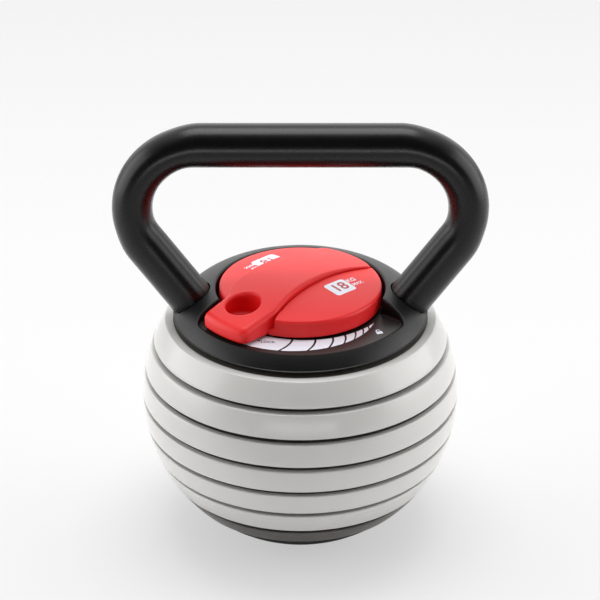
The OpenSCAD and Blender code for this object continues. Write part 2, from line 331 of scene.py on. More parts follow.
def rod(start, end, radius, facets=96):
    """Closed round rod between two points: start or end plus radius times (p cos t + q sin t),
    where p and q stand square to the rod and to each other."""
    start, end = np.array(start, float), np.array(end, float)
    axis = (end - start) / np.linalg.norm(end - start)
    p = np.cross(axis, [0, 1, 0])
    p = p / np.linalg.norm(p)
    q = np.cross(axis, p)
    t = np.linspace(0, 2 * np.pi, facets, endpoint=False)[:, None]
    ring = radius * (p * np.cos(t) + q * np.sin(t))
    return shell(np.stack([start + ring, end + ring]), start, end)


def evenly(outline, count):
    """Closed outline sampled at points that are the same distance apart along it."""
    closed = np.vstack([outline, outline[:1]])
    along = np.concatenate([[0], np.cumsum(np.linalg.norm(np.diff(closed, axis=0), axis=1))])
    at = np.linspace(0, along[-1], count, endpoint=False)
    return np.column_stack([np.interp(at, along, closed[:, k]) for k in (0, 1)])


def softened(outline, count, spread):
    """Closed outline whose corners are softened by a moving average along its length, with a
    bell-shaped weight of the given spread. The average is one product of Fourier series."""
    even = evenly(outline, count)
    step = np.linalg.norm(np.roll(even, -1, 0) - even, axis=1).mean()
    waves = np.fft.fftfreq(count, d=step)
    spectrum = np.fft.fft(even[:, 0] + 1j * even[:, 1])
    soft = np.fft.ifft(spectrum * np.exp(-2 * (np.pi * waves * spread) ** 2))
    return evenly(np.column_stack([soft.real, soft.imag]), count)


def normals(outline):
    """Outward unit normals of a closed outline that runs anticlockwise."""
    along = np.roll(outline, -1, 0) - np.roll(outline, 1, 0)
    along = along / np.linalg.norm(along, axis=1)[:, None]
    return np.column_stack([along[:, 1], -along[:, 0]])


def turn(plan, by):
    """Plan points turned anticlockwise about the axis."""
    c, s = math.cos(by), math.sin(by)
    return np.stack([c * plan[..., 0] - s * plan[..., 1],
                     s * plan[..., 0] + c * plan[..., 1]], -1)


# ---------------------------------------------------------------- objects


def new_object(name, verts, faces):
    """Object at the origin whose mesh has these vertices and faces, in metres."""
    mesh = bpy.data.meshes.new(name)
    mesh.from_pydata(verts.tolist(), [], [f for group in faces for f in group.tolist()])
    mesh.validate()
    thing = bpy.data.objects.new(name, mesh)
    bpy.context.scene.collection.objects.link(thing)
    return thing


def carve(thing, shells, operation="DIFFERENCE"):
    """Cuts closed shells out of an object's mesh, or adds them to it, for good."""
    cutter = new_object("cutter", *merged(shells))
    modifier = thing.modifiers.new("cut", "BOOLEAN")
    modifier.operation, modifier.object, modifier.solver = operation, cutter, "EXACT"
    seen = thing.evaluated_get(bpy.context.evaluated_depsgraph_get())
    carved = bpy.data.meshes.new_from_object(seen)
    thing.modifiers.clear()
    thing.data = carved
    bpy.data.objects.remove(cutter)
    if len(carved.polygons) == 0:
        raise RuntimeError(f"cutting {thing.name} left nothing")


def dress(thing, look, body, nodes=(), sharp=32):
    """Shades a piece smooth up to an angle, gives it its finish and rides it on its body."""
    mesh = thing.data
    mesh.materials.clear()
    mesh.materials.append(finish(look))
    mesh.polygons.foreach_set("material_index", np.zeros(len(mesh.polygons), np.int32))
    mesh.shade_smooth()
    mesh.set_sharp_from_angle(angle=math.radians(sharp))
    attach(thing, body)
    if nodes:
        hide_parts(*nodes)
    return thing


# ---------------------------------------------------------------- finishes


# Finishes by name. Base is a colour of the colour group or a fixed one. The rest is described
# in painted() below.
FINISHES = {
    # Satin powder coat with a fine orange peel.
    "black_powder_coat": dict(
        base="black_paint", rough=(0.24, 0.31), shift=0.15, wander=40, grain=1100,
        relief=0.006, specular=0.30),
    # Moulded black plastic with a fine spark-eroded grain.
    "black_grained_plastic": dict(
        base="black_plastic", rough=(0.34, 0.44), shift=0.12, wander=25, grain=2200,
        relief=0.02, specular=0.3),
    # Satin red plastic.
    "red_satin_plastic": dict(
        base="red_plastic", rough=(0.40, 0.48), shift=0.03, wander=22, grain=1800,
        relief=0.008, specular=0.38),
    # Glossy light grey paint over cast iron, with a soft orange peel.
    "grey_cast_paint": dict(
        base="grey_paint", rough=(0.30, 0.40), shift=0.03, wander=28, grain=420, relief=0.05,
        coat=0.25, coat_rough=0.12),
    # Painted shade: a dark iron colour on the faces deep inside a plate, which darkens the grooves
    # between the plates as shade would.
    "dark_bare_iron": dict(
        base=shade(92, 88, 82), rough=(0.55, 0.7), shift=0.15, wander=60, grain=900,
        relief=0.05, specular=0.3),
    # Dark satin film.
    "dark_label_film": dict(
        base="film", rough=(0.30, 0.36), shift=0.08, wander=60, grain=1500, relief=0.004,
        specular=0.3),
    # White ink with a slightly uneven cover.
    "white_ink": dict(
        base="ink", rough=(0.42, 0.50), shift=0.03, wander=200, grain=2500, relief=0.003),
    # Dark ink on the white band.
    "dark_ink": dict(
        base="film", rough=(0.42, 0.50), shift=0.05, wander=200, grain=2500, relief=0.003),
    # Digits that show the red of the dial.
    "red_ink": dict(
        base=shade(178, 44, 52), rough=(0.42, 0.50), shift=0.05, wander=200, grain=2500,
        relief=0.003),
    # Dark dock with a glossy skin.
    "dark_dock_gloss": dict(
        base="dock", rough=(0.22, 0.30), shift=0.08, wander=30, grain=600, relief=0.02,
        coat=0.3, coat_rough=0.1),
    # Matt rubber.
    "black_foot_rubber": dict(
        base="rubber", rough=(0.62, 0.74), shift=0.12, wander=50, grain=1500, relief=0.04,
        specular=0.35),
    # Zinc-plated steel with a faint mottle.
    "bright_zinc_steel": dict(
        base=shade(196, 198, 202), rough=(0.24, 0.40), shift=0.08, wander=160, grain=1200,
        relief=0.006, metal=1.0),
    # Darker oiled spring steel.
    "oiled_spring_steel": dict(
        base=shade(120, 122, 126), rough=(0.30, 0.42), shift=0.1, wander=120, grain=1400,
        relief=0.006, metal=1.0),
    # Sintered bronze.
    "sintered_bronze": dict(
        base=shade(176, 138, 84), rough=(0.34, 0.48), shift=0.12, wander=220, grain=2600,
        relief=0.02, metal=1.0),
    # Natural nylon.
    "natural_nylon": dict(
        base=shade(222, 214, 196), rough=(0.42, 0.52), shift=0.04, wander=60, grain=1400,
        relief=0.006),
}


def painted(name, base, rough, shift, wander, grain, relief, metal=0.0, specular=0.5, coat=0.0,
            coat_rough=0.1):
    """Finish whose colour wanders a little either side of its base with a broad noise, whose
    roughness runs between two values with a second noise, and whose surface rises and falls
    by relief millimetres with a fine noise. Scales are in waves per metre."""
    material = bpy.data.materials.new(name)
    material.use_nodes = True
    tree = material.node_tree
    shader = tree.nodes["Principled BSDF"]
    place = tree.nodes.new("ShaderNodeTexCoord")

    def noise(scale, detail):
        node = tree.nodes.new("ShaderNodeTexNoise")
        node.inputs["Scale"].default_value = scale
        node.inputs["Detail"].default_value = detail
        tree.links.new(place.outputs["Object"], node.inputs["Vector"])
        return node

    blend = tree.nodes.new("ShaderNodeMix")
    blend.data_type = "RGBA"
    blend.inputs["A"].default_value = (*[c * (1 - shift) for c in base], 1)
    blend.inputs["B"].default_value = (*[min(1, c * (1 + shift)) for c in base], 1)
    tree.links.new(noise(wander, 3).outputs["Fac"], blend.inputs["Factor"])
    tree.links.new(blend.outputs["Result"], shader.inputs["Base Color"])
    gloss = tree.nodes.new("ShaderNodeMapRange")
    gloss.inputs["To Min"].default_value, gloss.inputs["To Max"].default_value = rough
    tree.links.new(noise(wander * 3, 4).outputs["Fac"], gloss.inputs["Value"])
    tree.links.new(gloss.outputs["Result"], shader.inputs["Roughness"])
    bump = tree.nodes.new("ShaderNodeBump")
    bump.inputs["Strength"].default_value = 1.0
    bump.inputs["Distance"].default_value = relief * MM
    tree.links.new(noise(grain, 3).outputs["Fac"], bump.inputs["Height"])
    tree.links.new(bump.outputs["Normal"], shader.inputs["Normal"])
    shader.inputs["Metallic"].default_value = metal
    shader.inputs["Specular IOR Level"].default_value = specular
    shader.inputs["Coat Weight"].default_value = coat
    shader.inputs["Coat Roughness"].default_value = coat_rough
    return material


def finish(name):
    """The named finish, made from the table the first time that it is asked for."""
    look = dict(FINISHES[name])
    if isinstance(look["base"], str):
        look["base"] = getattr(bpy.context.scene.kettlebell_colours, look["base"])
    return bpy.data.materials.get(name) or painted(name, **look)


# ---------------------------------------------------------------- handle


def handle_shell(sizes):
    """Bent tube in the XZ plane. The centre line is a level grip, a bend of 90 degrees plus the
    lean on each side, and a straight leg. Round each point of it goes an ellipse: the centre
    plus n b cos t plus y a sin t, where n is the line's normal in the plane, a the tube's
    radius and b the same less a thinning that rises and falls along the bend. The inner wall
    follows the same rule and runs back, and both end in the level cut at the head plate."""
    a = HANDLE_HI.y
    bend, lean = sizes.bend_radius, sizes.lean
    grip_z = HANDLE_HI.z - a
    half = HANDLE_HI.x - a - bend
    full = math.pi / 2 + lean
    turn_at = np.concatenate([np.zeros(18), np.linspace(0, full, 64), np.full(13, full)])
    flat = np.concatenate([np.linspace(0, half, 19)[:-1], np.full(77, half)])
    drop = (grip_z - bend + bend * math.cos(full) - HANDLE_LO.z) / math.sin(full)
    leg = np.concatenate([np.zeros(82), np.linspace(0, drop - 16 * MM, 13)[1:], [drop]])
    x = flat + bend * np.sin(turn_at) + leg * np.cos(full)
    z = grip_z - bend + bend * np.cos(turn_at) - leg * np.sin(full)
    x, z = np.concatenate([-x[:0:-1], x]), np.concatenate([z[:0:-1], z])
    lead = np.concatenate([-turn_at[:0:-1], turn_at])
    inside = np.minimum(np.abs(lead), full - np.abs(lead)) / math.radians(22)
    thin = sizes.thinning * np.clip(inside, 0, 1) ** 2 * (3 - 2 * np.clip(inside, 0, 1))
    t = np.linspace(0, 2 * np.pi, 96, endpoint=False)

    def wall(wide, deep):
        flatness = (deep - thin)[:, None] * np.cos(t)
        grid = np.stack([x[:, None] + np.sin(lead)[:, None] * flatness,
                         wide * np.sin(t) + 0 * flatness,
                         z[:, None] + np.cos(lead)[:, None] * flatness], -1)
        for row, side in ((0, -1), (-1, 1)):
            extra = (grid[row, :, 2] - HANDLE_LO.z) / math.sin(full)
            grid[row, :, 0] += side * extra * math.cos(full)
            grid[row, :, 2] = HANDLE_LO.z
        return grid

    inner = wall(a - sizes.wall, a - sizes.wall)[::-1]
    return shell(np.concatenate([wall(a, a), inner]))


# ---------------------------------------------------------------- top cap and label


def recess_outline(sizes, at):
    """Distance of the recess's outline from the axis in each direction: the well's radius,
    then along an end wall c / sin(a) for a wall at distance c from the axis, then the
    recess's radius. Arcs with centres at (c, direction) round the two corners that each end
    wall makes: c cos d plus or minus the root of q^2 - c^2 sin^2 d, for a corner of radius q."""
    far = sizes.recess_radius - sizes.corner
    low = sizes.first - math.asin((sizes.start_side - sizes.corner) / far)
    high = sizes.last + math.asin((sizes.end_side - sizes.corner) / far)
    between = (at - low) % (2 * math.pi) < high - low
    radius = np.where(between, sizes.recess_radius, sizes.well_radius)
    ends = ((at - sizes.first, sizes.start_side, -1), (at - sizes.last, sizes.end_side, 1))
    inner_q = 3 * MM
    for turned_by, side, sign in ends:
        a = (turned_by * sign + math.pi) % (2 * math.pi) - math.pi
        near = sizes.well_radius + inner_q
        a_near = math.asin((side + inner_q) / near)
        a_far = math.asin((side - sizes.corner) / far)
        a_wall_near = math.atan2(side, near * math.cos(a_near))
        a_wall_far = math.atan2(side, far * math.cos(a_far))
        wall = side / np.sin(np.clip(a, 0.01, 3))
        arc_near = near * np.cos(a - a_near) - np.sqrt(
            np.maximum(inner_q ** 2 - (near * np.sin(a - a_near)) ** 2, 0))
        arc_far = far * np.cos(a - a_far) + np.sqrt(
            np.maximum(sizes.corner ** 2 - (far * np.sin(a - a_far)) ** 2, 0))
        radius = np.where((a <= a_near) & (a > a_wall_near), arc_near, radius)
        radius = np.where((a <= a_wall_near) & (a > a_wall_far), wall, radius)
        radius = np.where((a <= a_wall_far) & (a > a_far), arc_far, radius)
    return radius


def cap_dome(sizes, r):
    """Height of the cap's dome at a distance from the axis: one arc, turned about the axis."""
    centre = CAP_LO.z - math.sqrt(sizes.dome_radius ** 2 - (CAP_HI.x - sizes.dome_at) ** 2)
    return centre + np.sqrt(sizes.dome_radius ** 2 - (r - sizes.dome_at) ** 2)


def cap_shell(sizes):
    """Cap whose floor, walls and dome are rows of one grid. Its columns stand along the
    outline of the well and recess. The rows cross the floor, climb a small fillet, the
    upright wall and a rounded lip, run over the dome to the skirt, and go back underneath."""
    at = np.linspace(0, 2 * np.pi, 7200, endpoint=False)
    r = recess_outline(sizes, at)
    edge = evenly(np.column_stack([r * np.cos(at), r * np.sin(at)]), 960)
    away = normals(edge)
    height = cap_dome(sizes, np.linalg.norm(edge, axis=1)) - sizes.floor
    foot = np.minimum(1.8 * MM, 0.4 * height)
    lip = np.minimum(1.6 * MM, 0.45 * height)
    ray = edge / np.linalg.norm(edge, axis=1)[:, None]
    rows = []

    def row(plan, z):
        rows.append(np.column_stack([plan, z + np.zeros(len(plan))]))

    hole, roof, skirt = 21 * MM, CAP_LO.z + 4.2 * MM, 3.7 * MM
    row(ray * hole, roof)
    row(ray * hole, sizes.floor)
    start = edge - away * foot[:, None]
    for share in (0.5, 0.9, 1.0):
        row(ray * hole * (1 - share) + start * share, sizes.floor)
    for t in np.linspace(0, np.pi / 2, 6)[1:]:
        row(edge - away * (foot * (1 - math.sin(t)))[:, None],
            sizes.floor + foot * (1 - math.cos(t)))
    top = edge + away * lip[:, None]
    top_z = cap_dome(sizes, np.linalg.norm(top, axis=1))
    for share in (0.1, 0.5, 0.9):
        row(edge, sizes.floor + foot + (top_z - lip - sizes.floor - foot) * share)
    for t in np.linspace(0, np.pi / 2, 7):
        plan = edge + away * (lip * (1 - math.cos(t)))[:, None]
        z = top_z - lip + lip * math.sin(t)
        row(plan, z)
    rim = ray * (CAP_HI.x - 0.6 * MM)
    for share in np.linspace(0, 1, 26)[1:]:
        plan = top * (1 - share) + rim * share
        row(plan, cap_dome(sizes, np.linalg.norm(plan, axis=1)))
    row(ray * (CAP_HI.x - 0.1 * MM), CAP_LO.z + 0.7 * MM)
    row(ray * CAP_HI.x, CAP_LO.z + 0.35 * MM)
    row(ray * (CAP_HI.x - 0.25 * MM), CAP_LO.z)
    row(ray * (CAP_HI.x - skirt), CAP_LO.z)
    row(ray * (CAP_HI.x - skirt), roof)
    return shell(np.stack(rows))


def leg_rod(side, radius):
    """Rod along one of the handle's legs, wide enough to clear it."""
    sizes = bpy.context.scene.kettlebell_handle
    full = math.pi / 2 + sizes.lean
    grip_z = HANDLE_HI.z - HANDLE_HI.y
    x = HANDLE_HI.x - HANDLE_HI.y - sizes.bend_radius + sizes.bend_radius * math.sin(full)
    z = grip_z - sizes.bend_radius + sizes.bend_radius * math.cos(full)
    low = (z - CAP_LO.z + 10 * MM) / math.sin(full)
    down = (side * (x + low * math.cos(full)), 0, z - low * math.sin(full))
    return rod(down, (side * x, 0, z), radius)


def label_shell(sizes):
    """Dark film on the recess's floor: r runs from under the dial to just short of the
    recess's outline, in every direction in which there is room for it."""
    at = np.linspace(math.radians(203.5), math.radians(336.5), 260)
    outer = np.minimum(recess_outline(sizes, at) - 1.6 * MM, sizes.recess_radius - 1.6 * MM)
    inner = np.minimum(57 * MM, outer - 0.2 * MM)
    share = np.linspace(0, 1, 12)[:, None]
    r = inner + (outer - inner) * share
    plan = np.stack([r * np.cos(at), r * np.sin(at)], -1)
    return sheet(plan, np.full(r.shape, LABEL_LO.z), np.full(r.shape, LABEL_HI.z - 0.05 * MM))


# Directions of the lines that part the white band, at its inner and its outer edge, in degrees
BAND_LINES = [(226.0, 226.0), (264.5, 258.6), (280.1, 274.0), (292.1, 286.1), (301.0, 295.8),
              (309.1, 303.5), (315.8, 311.4), (320.9, 318.7), (327.5, 327.5)]


def band_radii(at):
    """Inner and outer radius of the white band. With x = (direction - 243) / 84, the outer
    edge falls away as 73 - 13.5 x^2 and the inner one rises as 55.2 + 4.3 x millimetres."""
    x = (at - 243) / 84
    return (55.2 + 4.3 * x) * MM, (73 - 13.5 * x ** 2) * MM


def band_shells():
    """White band in segments. In each, the direction runs from one slanting line to the next
    and the radius from the inner edge to the outer one."""
    shells = []
    for (start_in, start_out), (end_in, end_out) in zip(BAND_LINES, BAND_LINES[1:]):
        across = np.linspace(0, 1, 9)[:, None]
        along = np.linspace(0, 1, 24)
        bow = across ** 1.6
        start = start_in + (start_out - start_in) * bow + 0.75
        end = end_in + (end_out - end_in) * bow - 0.75
        at = start + (end - start) * along
        low, high = band_radii(at)
        r = low + np.maximum(high - low, 0.05 * MM) * across
        plan = np.stack([r * np.cos(np.radians(at)), r * np.sin(np.radians(at))], -1)
        level = np.full(r.shape, LABEL_HI.z)
        shells.append(sheet(plan, level - 0.08 * MM, level - 0.02 * MM))
    return merged(shells)


def padlock_shells(centre, by, size, low, high):
    """Small open padlock: a rounded square body, and a shackle that is a half ring on two
    legs, of which one hangs free of the body."""
    body = rounded([(-0.5, -0.62, 0.12), (0.5, -0.62, 0.12), (0.5, 0.18, 0.12),
                    (-0.5, 0.18, 0.12)])
    t = np.linspace(0, np.pi, 25)
    arc = np.stack([[0.3 * k * np.cos(t), 0.42 + 0.3 * k * np.sin(t)] for k in (0.62, 1.25)])
    arc = arc.transpose(0, 2, 1)
    leg_in = np.array([[[-0.186, 0.42], [-0.186, 0.1]], [[-0.375, 0.42], [-0.375, 0.1]]])
    shackle = np.concatenate([arc, leg_in], axis=1)

    def place(plan):
        return turn(plan * size, by) + np.array(centre)

    flat = place(shackle)
    level = np.zeros(flat.shape[:2])
    return merged([prism(place(body), low, high), sheet(flat, level + low, level + high)])


# ---------------------------------------------------------------- printed words


def words_shell(words, size, cell, thick):
    """Flat letters as a closed mesh centred on the origin, cut into a grid of small cells so
    that they can follow a curved face. Gives their vertices and faces."""
    curve = bpy.data.curves.new("letters", "FONT")
    curve.body, curve.size, curve.extrude = words, size, thick / 2
    curve.align_x, curve.align_y = "CENTER", "CENTER"
    curve.offset = size * 0.022
    letters = bpy.data.objects.new("letters", curve)
    bpy.context.scene.collection.objects.link(letters)
    seen = letters.evaluated_get(bpy.context.evaluated_depsgraph_get())
    mesh = bpy.data.meshes.new_from_object(seen)
    work = bmesh.new()
    work.from_mesh(mesh)
    bmesh.ops.remove_doubles(work, verts=work.verts, dist=1e-6)
    for axis in (0, 1):
        at = [v.co[axis] for v in work.verts]
        for place in np.arange(min(at) + cell / 2, max(at), cell):
            point, across = Vector((0, 0, 0)), Vector((0, 0, 0))
            point[axis], across[axis] = place, 1
            bmesh.ops.bisect_plane(work, geom=work.verts[:] + work.edges[:] + work.faces[:],
                                   plane_co=point, plane_no=across, dist=1e-7)
    bmesh.ops.triangulate(work, faces=work.faces)
    verts = np.array([v.co[:] for v in work.verts])
    faces = np.array([[v.index for v in f.verts] for f in work.faces])
    work.free()
    bpy.data.objects.remove(letters)
    bpy.data.meshes.remove(mesh)
    return verts, [faces]


def box_plan(wide, tall, corner, cols=25, rows=25):
    """Grid over a rectangle with round corners: each row's half width is shortened near the
    top and bottom by corner less the root of corner^2 - d^2, d being the row's way into the
    corner."""
    y = np.sin(np.linspace(-np.pi / 2, np.pi / 2, rows)) * tall / 2
    into = np.clip(np.abs(y) - (tall / 2 - corner), 0, corner)
    half = wide / 2 - (corner - np.sqrt(corner ** 2 - into ** 2))
    x = np.linspace(-1, 1, cols) * half[:, None]
    return np.stack([x, np.broadcast_to(y[:, None], x.shape)], -1)


# White boxes on the dial: centre in the lever's axes, turn, width and height, in millimetres
BOXES = (((-10.9, 27.8), math.pi, 18, 15.5), ((-4, -37.3), 0.0, 20.5, 13.4))


def dial_dome(sizes, r):
    """Height of the dial's dome at a distance from the axis."""
    return sizes.dial_top - sizes.dial_dome + np.sqrt(sizes.dial_dome ** 2 - r ** 2)


def on_dial(sizes, verts, centre, by, lift):
    """Letters or boxes laid on the dial's dome: they are turned and moved in plan, and each
    point's height becomes the dome's height plus its own and the lift."""
    plan = turn(verts[:, :2], by) + np.array(centre)
    z = dial_dome(sizes, np.linalg.norm(plan, axis=1)) + verts[:, 2] + lift
    return np.column_stack([plan, z])


# ---------------------------------------------------------------- dial and lever


def lever_crease(u):
    """Plan curve of the lever's right-hand edge, an arc of 170 mm radius."""
    return (183.2 * MM) - np.sqrt((170 * MM) ** 2 - (u + 12 * MM) ** 2)


def lever_back(u):
    """Plan curve of the lever's left-hand edge, an arc of 220 mm radius."""
    return (190 * MM) - np.sqrt((220 * MM) ** 2 - (u + 8 * MM) ** 2)


def lever_top(sizes, plan):
    """Height of the lever's arch over a plan point in the lever's own axes. From 14 mm out it
    also falls towards the tip, by tip_drop times 3 t^2 - 2 t^3 with t = (along - 14) / 44."""
    away = (plan[..., 0] - sizes.arch_shift) ** 2 + plan[..., 1] ** 2
    out = np.clip((plan[..., 0] - 14 * MM) / (44 * MM), 0, 1)
    droop = sizes.tip_drop * out ** 2 * (3 - 2 * out)
    return sizes.arch_top - sizes.arch + np.sqrt(sizes.arch ** 2 - away) - droop


def lever_outline(sizes, count):
    """Plan outline of the lever, anticlockwise in its own axes, from the tab's tip: its tip
    arc, its right side, the right-hand edge over the dial, the far rim, the left-hand edge,
    a little of the near rim, and the tab's left side. The corners are then softened."""
    rim, tip = DIAL_HI.x - 1.6 * MM, sizes.tab_radius
    right, left, lean = sizes.tab_right, sizes.tab_left, 0.055
    u = np.linspace(48, -56, 400) * MM
    v = lever_crease(u) - 0.3 * MM
    keep = (np.hypot(u, v) < rim) & (v < right)
    inner = np.column_stack([u, v])[keep]
    u = np.linspace(-56, 52, 400) * MM
    v = lever_back(u)
    keep = np.hypot(u, v) < rim
    outer = np.column_stack([u, v])[keep]
    start, end = np.arctan2(*inner[-1, ::-1]), np.arctan2(*outer[0, ::-1]) + 2 * np.pi
    t = np.linspace(start, end, 100)
    far_rim = rim * np.column_stack([np.cos(t), np.sin(t)])
    u_left = 50.5 * MM
    v_left = left + lean * (u_left - 38 * MM)
    t = np.linspace(np.arctan2(*outer[-1, ::-1]), np.arctan2(v_left, u_left), 20)
    near_rim = rim * np.column_stack([np.cos(t), np.sin(t)])
    u_tip = math.sqrt(tip ** 2 - (18 * MM) ** 2)
    u = np.linspace(u_left + 1 * MM, u_tip, 60)
    tab_left = np.column_stack([u, left + lean * (u - 38 * MM)])
    t = np.linspace(np.arctan2(*tab_left[-1, ::-1]), math.asin(right / tip), 100)
    tip_arc = tip * np.column_stack([np.cos(t), np.sin(t)])
    u = np.linspace(tip * math.cos(math.asin(right / tip)), inner[0, 0] + 1 * MM, 60)
    tab_right = np.column_stack([u, np.full(len(u), right)])
    whole = np.vstack([tip_arc, tab_right, inner, far_rim, outer, near_rim, tab_left])
    return softened(whole, count, 2.9 * MM)


def lever_shell(sizes):
    """Lever as one grid round the finger hole. Each column follows a ray from the hole's
    centre to the outline. The rows go out over the hole's floor, up its wall, over its
    rounded rim, across the arch, over the rounded edge, down the side, round the lower edge and back
    underneath. The underside follows the dial's dome over the dial and is flat beyond it."""
    edge = lever_outline(sizes, 1100)
    away = normals(edge)
    centre = np.array([sizes.hole_u, sizes.hole_v])
    step = lever_top(sizes, edge) - dial_dome(sizes, np.linalg.norm(edge, axis=1))
    over_dial = np.clip((54 * MM - edge[:, 0]) / (16 * MM), 0, 1)
    over_dial = over_dial ** 2 * (3 - 2 * over_dial)
    near_side = np.clip(edge[:, 1] / (20 * MM) + 0.5, 0, 1)
    most = (0.9 + 1.5 * near_side) * MM
    along_dial = np.clip((0.5 + 0.25 * near_side) * step, 0.5 * MM, most)
    bend = sizes.edge + (along_dial - sizes.edge) * over_dial
    inset = edge - away * bend[:, None]
    ray = inset - centre
    ray = ray / np.linalg.norm(ray, axis=1)[:, None]
    hole, rim = sizes.hole_radius, 1.8 * MM
    rows = []

    def row(plan, z):
        rows.append(np.column_stack([plan, z + np.zeros(len(plan))]))

    foot = 2.5 * MM
    row(centre + ray * hole * 0.4, sizes.hole_floor)
    for t in np.linspace(0, np.pi / 2, 6):
        row(centre + ray * (hole - foot * (1 - math.sin(t))),
            sizes.hole_floor + foot * (1 - math.cos(t)))
    brim = centre + ray * (hole + rim)
    brim_z = lever_top(sizes, brim)
    for share in (0.1, 0.5, 0.9):
        wall_top = brim_z - rim - sizes.hole_floor - foot
        row(centre + ray * hole, sizes.hole_floor + foot + wall_top * share)
    for t in np.linspace(0, np.pi / 2, 7):
        row(centre + ray * (hole + rim * (1 - math.cos(t))), brim_z - rim * (1 - math.sin(t)))
    for share in np.linspace(0, 1, 22)[1:]:
        plan = brim * (1 - share) + inset * share
        row(plan, lever_top(sizes, plan))
    for t in np.linspace(0, np.pi / 2, 8)[1:]:
        plan = edge - away * (bend * (1 - math.sin(t)))[:, None]
        row(plan, lever_top(sizes, plan) - bend * (1 - math.cos(t)))
    side_top = lever_top(sizes, edge) - bend
    in_disc = np.clip((51 * MM - edge[:, 0]) / (2 * MM), 0, 1)
    dome = dial_dome(sizes, np.linalg.norm(edge, axis=1))
    valley = (1.6 + 9 * np.clip((edge[:, 0] + 20 * MM) / (62 * MM), 0, 1) ** 3) * MM
    deep = np.where(edge[:, 1] > 0, valley, 0.6 * MM)
    low = LEVER_LO.z + (dome - deep - LEVER_LO.z) * in_disc
    under = (1.6 - 1.1 * in_disc) * MM
    for share in (0.12, 0.5, 0.88):
        row(edge, side_top + (low + under - side_top) * share)
    for t in np.linspace(0, np.pi / 2, 5):
        row(edge - away * (under * (1 - math.cos(t)))[:, None],
            low + under * (1 - math.sin(t)))
    for share in (0.03, 0.3, 0.7):
        plan = (edge - away * under[:, None]) * (1 - share) + centre * share
        row(plan, low + (LEVER_LO.z - low) * min(1, share * 4))
    floor_mid, under_mid = [*centre, sizes.hole_floor], [*centre, LEVER_LO.z]
    verts, faces = shell(np.stack(rows), floor_mid, under_mid)
    verts[:, :2] = turn(verts[:, :2], sizes.lever_turn)
    return verts, faces


def tab_notches(sizes):
    """Shells that make room in the dial for the lever's tab, at full height, and beside it for
    the valley that opens towards the rim above the dial's skirt."""
    left, right = sizes.tab_left - 0.2 * MM, sizes.tab_right + 0.2 * MM
    tab = np.array([[38 * MM, left], [62 * MM, left + 1.2 * MM], [62 * MM, right],
                    [38 * MM, right]])
    t = np.linspace(0, 1, 16)
    u = 37 * MM + t * 26 * MM
    near = np.column_stack([u, np.full(len(u), right - 8 * MM)])
    far = np.column_stack([u, lever_crease(u) + 0.5 * MM + 3.0 * MM * t ** 1.5])
    plan = turn(np.stack([near, far]), sizes.lever_turn)
    skirt = np.full(plan.shape[:2], DIAL_LO.z + 4.2 * MM)
    return [prism(turn(tab, sizes.lever_turn), DIAL_LO.z - 5 * MM, sizes.arch_top + 1 * MM),
            sheet(plan, skirt, skirt + 30 * MM)]


def valley_groove(sizes):
    """Groove in the dial along the lever's right-hand edge: between the edge and a curve that
    parts from it towards the tab, and from above the dome down to a floor that falls."""
    t = np.linspace(0, 1, 60)
    u = -56 * MM + t * 96 * MM
    near = lever_crease(u) - 3 * MM
    far = lever_crease(u) + sizes.crease + (0.1 * t + 0.9 * t ** 5) * MM
    depth = (1.0 + 5.5 * t ** 4) * MM
    floor = dial_dome(sizes, np.hypot(u, far)) - depth
    plan = np.stack([np.column_stack([u, near]), np.column_stack([u, far])])
    return sheet(turn(plan, sizes.lever_turn), np.stack([floor, floor]),
                 np.full((2, 60), sizes.arch_top))


def dial_profile(sizes):
    """Section of the dial: its dome as part of a large ball, a rounded edge, the wall, and a
    flat underside."""
    rim, low = DIAL_HI.x, DIAL_LO.z
    r = np.linspace(0, rim, 30)
    dome = np.column_stack([r, dial_dome(sizes, r), np.zeros(30)])
    dome[-1, 2] = 2.4 * MM
    under = np.array([[rim, low, 0.6 * MM], [rim * 0.5, low, 0], [0, low, 0]])
    corners = np.vstack([dome[:-3], dome[-1:], under])
    outline = rounded(corners, 8)
    wall = np.linspace(0.06, 0.94, 5)[:, None]
    split = int(np.argmax((outline[:, 0] > rim - 1e-9) & (outline[:, 1] < DIAL_HI.z))) + 1
    top, bottom = outline[split - 1], outline[split]
    return np.vstack([outline[:split], top + (bottom - top) * wall, outline[split:]])


# ---------------------------------------------------------------- plates, dock and foot


def ball_r(sizes, z):
    """Radius at a height of the ball that the rims follow."""
    return np.sqrt(sizes.ball_radius ** 2 - (z - sizes.ball_height) ** 2)


def rim_corners(sizes, low, high, inset=0.0):
    """Corners of a rim's outer face, which follows the ball between two heights. The ones at
    its ends are rounded."""
    z = np.linspace(low, high, 6)
    round_off = [sizes.bevel, 0, 0, 0, 0, sizes.bevel]
    return [(r - inset, h, q) for r, h, q in zip(ball_r(sizes, z), z, round_off)]


def plate_profile(sizes, low, pitch, above_r):
    """Section of one plate: the rim, the ring in its groove, the hub, the bore, and the
    pocket underneath."""
    top, hub_top = low + pitch - sizes.groove, low + pitch
    ring = above_r - sizes.groove_depth
    pocket_r = min(ball_r(sizes, low), ball_r(sizes, top)) - sizes.rim_wall
    small, bore, turn_r, ledge = 0.4 * MM, 13.5 * MM, 20 * MM, low + 10 * MM
    hub = sizes.hub_radius
    corners = rim_corners(sizes, low, top) + [
        (ring, top, 0), (ring, hub_top, small), (ring - sizes.seat_wall, hub_top, small),
        (ring - sizes.seat_wall, top, 0), (hub, top, 0), (hub, hub_top, small),
        (bore, hub_top, small), (bore, ledge, 0), (turn_r, ledge, 0), (turn_r, low, small),
        (hub, low, small), (hub, low + sizes.pocket, 0), (pocket_r, low + sizes.pocket, 0),
        (pocket_r, low, small)]
    return dense(rounded(corners), 3 * MM)


